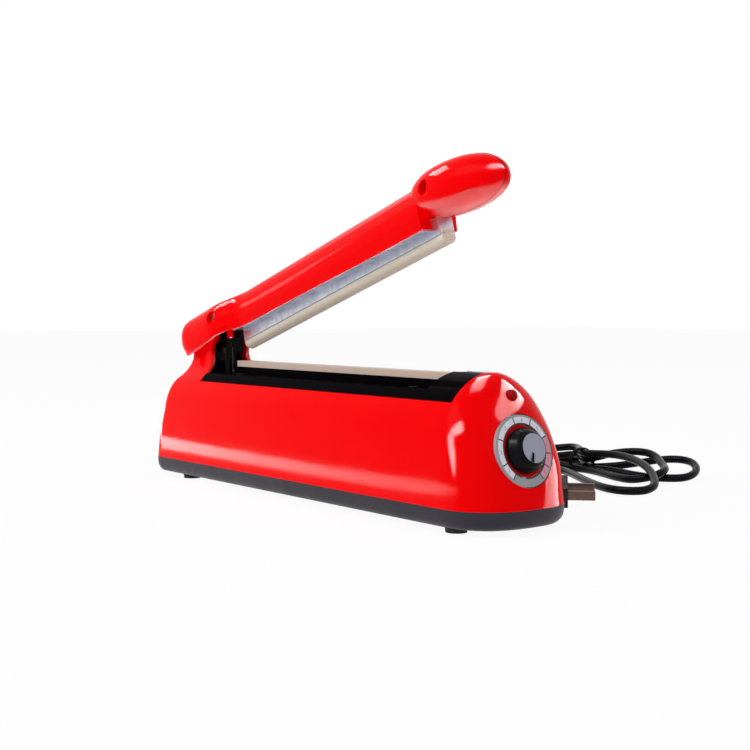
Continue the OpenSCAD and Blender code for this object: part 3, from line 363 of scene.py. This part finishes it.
def ring_sector(name, inner, outer, start, end, material, low=RING_TOP - 0.05, high=PRINT_TOP):
    """A thin plate on the dial, from one angle to the other."""
    steps = max(2, int(abs(end - start) / 4))
    verts, faces = [], []
    for i in range(steps + 1):
        a = start + (end - start) * i / steps
        verts += [on_dial(r, a, h) for r, h in ((inner, low), (outer, low), (outer, high), (inner, high))]
    for i in range(steps):
        for k in range(4):
            a, b = 4 * i + k, 4 * i + (k + 1) % 4
            faces.append((a, b, b + 4, a + 4))
    faces += [(3, 2, 1, 0), tuple(4 * steps + k for k in range(4))]
    if end < start:
        faces = [f[::-1] for f in faces]
    return add_mesh(name, verts, faces, material)


def dial_point(side, up, out):
    return DIAL_CENTRE + DIAL_SIDE * side + DIAL_UP * up + DIAL_OUT * out


def dial_plate(name, outline, low, high, material, body="base"):
    """A thin plate on the dial from an outline of (side, up) points, anticlockwise."""
    n = len(outline)
    verts = [dial_point(u, v, h) for h in (low, high) for u, v in outline]
    faces = [tuple(range(n))[::-1], tuple(range(n, 2 * n))]
    faces += [(k, (k + 1) % n, n + (k + 1) % n, n + k) for k in range(n)]
    return add_mesh(name, verts, faces, material, body)


# Corners of each digit's one stroke, on a grid 2 wide and 4 high
DIGITS = {
    1: [(1, 0), (1, 4), (0.3, 3.2)],
    2: [(0, 3.4), (1, 4), (2, 3.2), (0, 0), (2, 0)],
    3: [(0, 4), (2, 4), (1, 2.4), (2, 1.2), (1, 0), (0, 0.5)],
    4: [(1.5, 0), (1.5, 4), (0, 1.3), (2.1, 1.3)],
    5: [(2, 4), (0.2, 4), (0.2, 2.3), (1.7, 2.3), (2, 1), (1, 0), (0, 0.4)],
    6: [(1.8, 4), (0.1, 1.6), (0.6, 0), (1.6, 0), (1.9, 1.3), (1, 2.2), (0.2, 1.5)],
    7: [(0, 4), (2, 4), (0.8, 0)],
    8: [(1, 2.2), (0.2, 3.2), (1, 4), (1.8, 3.2), (1, 2.2), (0, 1), (1, 0), (2, 1), (1, 2.2)],
}


def make_digit(number, angle):
    a = math.radians(angle)
    centre = Vector((math.cos(a), math.sin(a))) * DIGIT_RADIUS
    corners = [centre + Vector((x - 1, y - 2)) * DIGIT_SCALE for x, y in DIGITS[number]]
    for k, (p, q) in enumerate(zip(corners, corners[1:])):
        along = (q - p).normalized() * STROKE_HALF
        side = Vector((-along.y, along.x))
        box = [p - along - side, q + along - side, q + along + side, p - along + side]
        name = "dial_digit_%d_%d" % (number, k)
        dial_plate(name, box, PRINT_TOP, PRINT_TOP + 0.04, RED_INK)


def make_dial():
    marks = [SCALE_START, *TICKS, SCALE_END]
    sectors = list(zip(marks, marks[1:]))
    for i, (a, b) in enumerate(sectors):
        material = DIAL_WHITE if i < WHITE_SEGMENTS else DIAL_ROSE
        ring_sector("dial_segment_%d" % (i + 1), SEGMENT_INNER, SEGMENT_OUTER, a, b, material)
    ring_sector("dial_inner_line", 13.2, 13.95, 250, -100, INK_AND_SHADOW, high=PRINT_TOP + 0.03)
    # Painted shadow, not print: a dark arc on the ring's rim over its +Y half only, where the seat's wall
    # throws shade.
    ring_sector("dial_shadow_arc", 18.05, 18.4, 95, -100, INK_AND_SHADOW, high=PRINT_TOP)
    half = math.degrees(0.28 / 15.3)
    for i, a in enumerate(marks):
        ring_sector("dial_tick_%d" % (i + 1), 13.6, 17.1, a + half, a - half, INK_AND_SHADOW,
                    PRINT_TOP, PRINT_TOP + 0.05)
    for i, (a, b) in enumerate(sectors):
        make_digit(i + 1, (a + b) / 2)


make_dial()


# ---------- pointer of the knob ----------

CAP_TOP = 6.6
POINTER_ANGLE = -112
POINTER_START, POINTER_END = (2.6, 0.45), (7.3, 0.95)


def make_pointer():
    """A mark on the cap that widens outwards, from one (radius, half width) to the other."""
    angle = math.radians(POINTER_ANGLE)
    along = Vector((math.cos(angle), math.sin(angle)))
    side = Vector((-along.y, along.x))
    ends = [(POINTER_START, -1), (POINTER_END, -1), (POINTER_END, 1), (POINTER_START, 1)]
    outline = [along * radius + side * half * way for (radius, half), way in ends]
    dial_plate("knob_pointer", outline, CAP_TOP - 0.1, CAP_TOP + 0.06, BLACK_KNOB, "knob")


make_pointer()


# ---------- arm: sealing strip, zinc plates, channel end, seam ----------

HINGE = (-120, 97.5)
OPEN_ANGLE = 16.9


def on_arm(x, y, z):
    """A point given in the shut arm's own frame, from the hinge pin, at the open arm's place."""
    a = math.radians(OPEN_ANGLE)
    return (HINGE[0] + x * math.cos(a) - z * math.sin(a), y, HINGE[1] + x * math.sin(a) + z * math.cos(a))


def bar_along_arm(name, section, stations, material, drop=None):
    """A closed section of (y, z) points drawn along the arm; drop gives its height at each station."""
    n = len(section)
    drop = drop or [0] * len(stations)
    verts = [on_arm(x, y, z + d) for x, d in zip(stations, drop) for y, z in section]
    faces = [tuple(range(n))[::-1], tuple(range((len(stations) - 1) * n, len(stations) * n))]
    for i in range(len(stations) - 1):
        for k in range(n):
            a, b = i * n + k, i * n + (k + 1) % n
            faces.append((a, b, b + n, a + n))
    return add_mesh(name, verts, faces, material, "arm")


def make_strip():
    """Silicone with a T head in the channel and a crowned sealing face."""
    half, low, wing = 4.5, -20.2, -16.9
    crown = [(half * math.sin(math.radians(t)), wing + (low - wing) * math.cos(math.radians(t)) ** 1.3)
             for t in range(-90, 91, 10)]
    right = [(half, -15.1), (2, -15.1), (2, -13.9), (4.2, -13.9), (4.2, -12.0)]
    section = crown + right + [(-y, z) for y, z in right[::-1]]
    strip = bar_along_arm("sealing_strip", section, [21.2, 23, 224.0, 224.4], SILICONE)
    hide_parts("silicone_strip")


def make_under_plates():
    """Zinc sheet on both sides of the channel, set into the arm's underside."""
    stations = [22, 34, 100, 190, 217.6]
    drop = [-7.85, -8.5, -9.3, -11.1, -11.1]
    for name, inner, outer in (("under_plate_left", 5.05, 11.4), ("under_plate_right", -11.4, -5.05)):
        section = [(inner, -0.25), (outer, -0.25), (outer, 0.35), (inner, 0.35)]
        bar_along_arm(name, section, stations, ZINC, drop)


def make_channel_end():
    """Folded end of the channel."""
    section = [(-4.95, -14.95), (4.95, -14.95), (4.95, -5.5), (-4.95, -5.5)]
    bar_along_arm("channel_end", section, [223.2, 223.85], ZINC)


# The seam between the arm's halves: a fine dark line over the handle, round its tip and back below it
GRIP_START, GRIP_LENGTH = 204.4, 69.8
SEAM_HALF_WIDTH, SEAM_DEPTH, SEAM_PROUD = 0.22, 0.4, 0.1


def grip_profile(share):
    """Top and bottom of the handle at a share of its length."""
    bulge = math.sqrt(max(0, 1 - abs(2 * share - 1) ** 2.4))
    middle = 8.2 - 7.7 * share
    return middle + 15.6 * bulge, middle - 12.9 * bulge


def seam_point(angle, side):
    """A point of the seam; the angle runs from 0 at the handle's root to 180 at its tip."""
    share = (1 - math.cos(math.radians(angle))) / 2
    return GRIP_START + GRIP_LENGTH * share, grip_profile(share)[side]


def make_seam():
    over = [seam_point(t, 0) for t in range(24, 176, 4)]
    tip = [(GRIP_START + GRIP_LENGTH + 0.05, 0.5)]
    below = [seam_point(t, 1) for t in range(176, 70, -4)]
    line = over + tip + below
    low, high, half = -SEAM_DEPTH, SEAM_PROUD, SEAM_HALF_WIDTH
    verts, faces = [], []
    for i, (x, z) in enumerate(line):
        a, b = line[max(0, i - 1)], line[min(len(line) - 1, i + 1)]
        along = Vector((b[0] - a[0], b[1] - a[1])).normalized()
        out = Vector((-along.y, along.x))
        for y, h in ((-half, low), (half, low), (half, high), (-half, high)):
            verts.append(on_arm(x + out.x * h, y, z + out.y * h))
    for i in range(len(line) - 1):
        for k in range(4):
            a, b = 4 * i + k, 4 * i + (k + 1) % 4
            faces.append((a, a + 4, b + 4, b))
    faces += [(0, 1, 2, 3), tuple(4 * (len(line) - 1) + k for k in (3, 2, 1, 0))]
    add_mesh("handle_seam", verts, faces, RED_SHADE, "arm")


make_strip()
make_under_plates()
make_channel_end()
make_seam()


# ---------- mains lead ----------
# The routes repeat the part's own, in millimetres. The hank's three loops fan out from the tie.

CORD_DIAMETER = 5.0
CORD_EXIT = (-191, 0, 26)
LEAD_ROUTE = [
    CORD_EXIT, (-198, 1, 25), (-205, 4, 22), (-211, 9, 17), (-215, 17, 11), (-217, 27, 6),
    (-217, 39, 3.2), (-213, 52, 2.6), (-205, 64, 2.6), (-193, 73, 2.6), (-178, 79, 2.6), (-160, 82, 2.6),
    (-138, 84, 2.6), (-114, 87, 2.6), (-92, 94, 2.6), (-74, 104, 2.6), (-62, 120, 2.6), (-54, 139, 2.6),
    (-50, 158, 2.6), (-49, 177, 2.6),
]
REAR_ENTRY = [
    (-48, 193, 2.6), (-47, 205, 2.6), (-43, 216.5, 2.6), (-35, 225, 2.6), (-25, 228, 2.6), (-15, 224.5, 2.6),
    (-8, 216.5, 2.6),
]
OUTER_LOOP = [
    (0, 209.5, 2.6), (12, 209, 3.4), (24, 217, 5), (35, 227, 7.5), (45, 235.5, 9.5), (55, 240, 10),
    (65, 239, 9), (74, 232.5, 6.5), (79.5, 222.5, 4), (80, 212, 2.7), (75, 203, 2.6), (65, 198, 2.6),
    (53, 198.5, 2.6), (40, 201.5, 2.6), (27, 203.5, 2.6), (13, 202.5, 2.6), (0, 200.2, 2.6),
]
REAR_LOOP_LOW = [
    (-12, 194.5, 2.6), (-24, 191, 2.7), (-35, 194, 3.2), (-41.5, 203, 3.9), (-41, 213.5, 5.0),
    (-34, 221.5, 6.4), (-24, 223.5, 7.7), (-14, 219, 7.9), (-6.5, 210.5, 7.8),
]
MIDDLE_LOOP = [
    (2, 205, 7.9), (11, 207, 10), (20, 213.5, 13), (31, 220.5, 14.6), (42, 222.5, 14.4), (52, 219.5, 12.6),
    (61, 213, 10.5), (70, 206, 8.8), (76.5, 198, 7.9), (78.5, 189, 6.2), (74.5, 181, 4.2), (65.5, 178, 2.9),
    (52, 181, 2.6), (38, 186.5, 2.6), (24, 192, 2.6), (12, 194.8, 2.6), (0, 195, 2.6),
]
REAR_LOOP_HIGH = [
    (-12, 190.5, 4.8), (-24, 187.5, 7.6), (-35, 190, 8.6), (-42.5, 198.5, 9.2), (-43, 209.5, 10.2),
    (-36.5, 218.5, 11.6), (-26, 221.5, 12.9), (-15.5, 217, 13), (-7, 208.5, 12.6),
]
INNER_LOOP = [
    (2, 203, 12.4), (13, 201.5, 12.9), (26, 202, 13.6), (40, 199.5, 13.8), (55, 193.5, 13.4),
    (70, 185.5, 12.2), (84, 176.5, 9.8), (95, 167, 7), (103, 157.5, 4.4), (105, 147.5, 2.9),
    (100.5, 139.5, 2.6), (91, 136.5, 2.6), (78, 139.5, 2.6), (62, 147.5, 2.6), (44, 158, 2.6),
    (26, 169, 2.6), (10, 177.5, 2.6), (-4, 180.5, 2.6),
]
TAIL_ROUTE = [
    (-14.5, 175, 2.6), (-19.5, 164, 2.6), (-16, 150, 2.6), (-7, 134, 2.6), (2, 118, 2.6), (10, 101, 2.6),
    (19, 85, 2.6), (31, 72, 2.8), (46, 63, 3.8), (61, 58, 5.6), (75, 57.5, 7.2), (86, 61, 7.9),
]


def smooth_line(points, steps=6):
    """Catmull-Rom curve through the points, as a fine list."""
    p = np.array(points, float)
    p = np.vstack([2 * p[0] - p[1], p, 2 * p[-1] - p[-2]])
    fine = []
    for a, b, c, d in zip(p, p[1:], p[2:], p[3:]):
        square, cube = 2 * a - 5 * b + 4 * c - d, 3 * b - a - 3 * c + d
        for k in range(steps):
            t = k / steps
            fine.append(0.5 * (2 * b + (c - a) * t + square * t * t + cube * t ** 3))
    fine.append(p[-2])
    return np.array(fine)


def make_wire(name, line, radius, resolution, replaced):
    """A round wire along a line in millimetres, on the base, in place of the CAD nodes named.
    """
    curve = bpy.data.curves.new(name, "CURVE")
    curve.dimensions = "3D"
    curve.bevel_depth = radius * MM
    curve.bevel_resolution = resolution
    curve.use_fill_caps = True
    spline = curve.splines.new("POLY")
    spline.points.add(len(line) - 1)
    for point, place in zip(spline.points, line):
        point.co = (*[c * MM for c in place], 1)
    curve.materials.append(CORD_VINYL)
    wire = bpy.data.objects.new(name, curve)
    bpy.context.scene.collection.objects.link(wire)
    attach(wire, "base")
    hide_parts(*replaced)
    return wire


def make_cord():
    route = (LEAD_ROUTE + REAR_ENTRY + OUTER_LOOP + REAR_LOOP_LOW + MIDDLE_LOOP + REAR_LOOP_HIGH
             + INNER_LOOP + TAIL_ROUTE)
    line = smooth_line(route)
    replaced = ["lead_tube", "lead_hank", "lead_tail"]
    cord = make_wire("mains_lead", line, CORD_DIAMETER / 2, 5, replaced)
    return cord, float(np.linalg.norm(np.diff(line, axis=0), axis=1).sum())


lead, lead_length = make_cord()

TIE_PLACE = (1, 202.5, 8.1)
TIE_HALF_WIDTH, TIE_HALF_HEIGHT = 10.8, 7.3
TIE_TURNS, TIE_PITCH, TIE_STEPS = 2, 1.6, 28
TIE_WIRE_RADIUS = 0.7


def make_tie():
    """Wire tie wrapped twice round the runs of the hank."""
    line = []
    count = TIE_TURNS * TIE_STEPS
    for i in range(count + 1):
        a = 2 * math.pi * i / TIE_STEPS
        line.append((
            TIE_PLACE[0] + TIE_PITCH * TIE_TURNS * (i / count - 0.5),
            TIE_PLACE[1] + TIE_HALF_WIDTH * math.cos(a) * (1 - 0.1 * math.sin(a)),
            TIE_PLACE[2] + TIE_HALF_HEIGHT * math.sin(a),
        ))
    return make_wire("wire_tie", line, TIE_WIRE_RADIUS, 3, ["hank_tie"])


tie = make_tie()


# ---------- lights, floor ----------

def area_light(name, place, aim, size, power):
    data = bpy.data.lights.new(name, "AREA")
    data.shape = "RECTANGLE"
    data.size, data.size_y = size
    data.energy = power
    light = bpy.data.objects.new(name, data)
    light.location = place
    light.rotation_euler = (Vector(aim) - Vector(place)).to_track_quat("-Z", "Y").to_euler()
    bpy.context.scene.collection.objects.link(light)
    return light


def seen_by_viewer(tree):
    """1 where the camera, a gloss or glass looks at it, else 0."""
    path = tree.nodes.new("ShaderNodeLightPath")
    total = path.outputs["Is Camera Ray"]
    for name in ("Is Glossy Ray", "Is Transmission Ray"):
        add = tree.nodes.new("ShaderNodeMath")
        add.operation = "MAXIMUM"
        tree.links.new(total, add.inputs[0])
        tree.links.new(path.outputs[name], add.inputs[1])
        total = add.outputs["Value"]
    return total


WORLD_LIGHT = 0.5


def make_world():
    world = bpy.data.worlds.new("world")
    bpy.context.scene.world = world
    world.use_nodes = True
    tree = world.node_tree
    tree.nodes.clear()
    out = tree.nodes.new("ShaderNodeOutputWorld")
    seen = tree.nodes.new("ShaderNodeBackground")
    seen.inputs["Color"].default_value = (1, 1, 1, 1)
    seen.inputs["Strength"].default_value = 1.0
    lit = tree.nodes.new("ShaderNodeBackground")
    lit.inputs["Color"].default_value = (0.97, 0.98, 1.0, 1)
    lit.inputs["Strength"].default_value = WORLD_LIGHT
    mix = tree.nodes.new("ShaderNodeMixShader")
    tree.links.new(seen_by_viewer(tree), mix.inputs["Fac"])
    tree.links.new(lit.outputs["Background"], mix.inputs[1])
    tree.links.new(seen.outputs["Background"], mix.inputs[2])
    tree.links.new(mix.outputs["Shader"], out.inputs["Surface"])


FLOOR_GLOW = 0.93
FLOOR_HALF = 6


def make_floor():
    mesh = bpy.data.meshes.new("floor")
    h = FLOOR_HALF
    mesh.from_pydata([(-h, -h, 0), (h, -h, 0), (h, h, 0), (-h, h, 0)], [], [(0, 1, 2, 3)])
    floor = bpy.data.objects.new("floor", mesh)
    bpy.context.scene.collection.objects.link(floor)
    material = bpy.data.materials.new("floor")
    material.use_nodes = True
    tree = material.node_tree
    tree.nodes.clear()
    out = tree.nodes.new("ShaderNodeOutputMaterial")
    diffuse = tree.nodes.new("ShaderNodeBsdfDiffuse")
    diffuse.inputs["Color"].default_value = (0.98, 0.98, 0.98, 1)
    emission = tree.nodes.new("ShaderNodeEmission")
    emission.inputs["Strength"].default_value = 1.0
    share = tree.nodes.new("ShaderNodeMath")
    share.operation = "MULTIPLY"
    share.inputs[1].default_value = FLOOR_GLOW
    mix = tree.nodes.new("ShaderNodeMixShader")
    tree.links.new(seen_by_viewer(tree), share.inputs[0])
    tree.links.new(share.outputs["Value"], mix.inputs["Fac"])
    tree.links.new(diffuse.outputs["BSDF"], mix.inputs[1])
    tree.links.new(emission.outputs["Emission"], mix.inputs[2])
    tree.links.new(mix.outputs["Shader"], out.inputs["Surface"])
    mesh.materials.append(material)


def soft_box(name, spot, azimuth, elevation, distance, size, glow, receivers, roll=0):
    """A panel that only the gloss of its receivers shows: it stands where it mirrors on the spot.

    Glow is its radiance, where the surround's is 1. It is far above a plain level, since the receivers'
    specular levels are so low. Only the receivers see it or shade it, so one may stand below the floor.
    Azimuth 0 is towards -Y and 90 towards +X, as seen from the spot; roll leans its top that way.
    """
    a, e = math.radians(azimuth), math.radians(elevation)
    way = Vector((math.sin(a) * math.cos(e), -math.cos(a) * math.cos(e), math.sin(e)))
    power = glow * math.pi * size[0] * size[1]
    light = area_light(name, Vector(spot) + way * distance, spot, size, power)
    along = Vector((math.cos(a), math.sin(a), 0)) * math.sin(math.radians(roll))
    up = (Vector((0, 0, 1)) - way * way.z).normalized() * math.cos(math.radians(roll)) + along
    across = up.cross(way).normalized()
    light.rotation_euler = Matrix((across, up, way)).transposed().to_euler()
    light.visible_diffuse = False
    group = bpy.data.collections.new(name + "_receivers")
    for piece in receivers:
        group.objects.link(piece)
    light.light_linking.receiver_collection = group
    light.light_linking.blocker_collection = group


# Spots, in metres, that a soft box mirrors on
NOSE = (0.146, -0.02, 0.05)
SIDE = (0.0, -0.035, 0.02)
ARM = (-0.02, -0.012, 0.125)
GRIP = (0.125, -0.01, 0.175)
KNOB = (0.163, -0.004, 0.045)
HANK = (0.04, 0.2, 0.01)


def make_lights():
    target = (0, 0, 0.06)
    body = [NODES["housing"]]
    shells = [NODES["arm_left_shell"], NODES["arm_right_shell"]]
    area_light("key", (-0.3, -1.4, 1.3), target, (1.4, 1.0), 18)
    area_light("fill", (1.3, 0.3, 1.0), target, (1.0, 1.0), 2.5)
    soft_box("strip", NOSE, -7, 27, 1.4, (0.26, 1.7), 190, body, 46)
    soft_box("top", NOSE, -130, 74, 1.4, (0.5, 1.1), 90, body)
    soft_box("right_window", NOSE, 145, 43, 1.6, (2.0, 0.75), 95, body)
    soft_box("right_low", NOSE, 140, 5, 1.2, (1.7, 0.2), 40, body)
    soft_box("side_low", SIDE, -56, -2.2, 0.8, (1.8, 0.05), 26, body)
    soft_box("bulb_window", ARM, -66, 12, 2.5, (0.3, 0.3), 6, shells)
    soft_box("grip_window", GRIP, -76, 34, 1.8, (0.7, 0.36), 36, shells)
    soft_box("grip_right", GRIP, 85, 60, 1.6, (3.0, 0.9), 150, shells)
    soft_box("grip_below", GRIP, -120, -62, 0.7, (1.7, 1.7), 560, shells)
    soft_box("knob_window", KNOB, -21, 46, 1.4, (0.22, 0.22), 30, [NODES["timer_knob"]])
    soft_box("cord_window", HANK, 20, 65, 1.6, (2.0, 0.2), 12, [lead, tie])


make_world()
make_floor()
make_lights()
bpy.context.scene.view_settings.view_transform = "Standard"
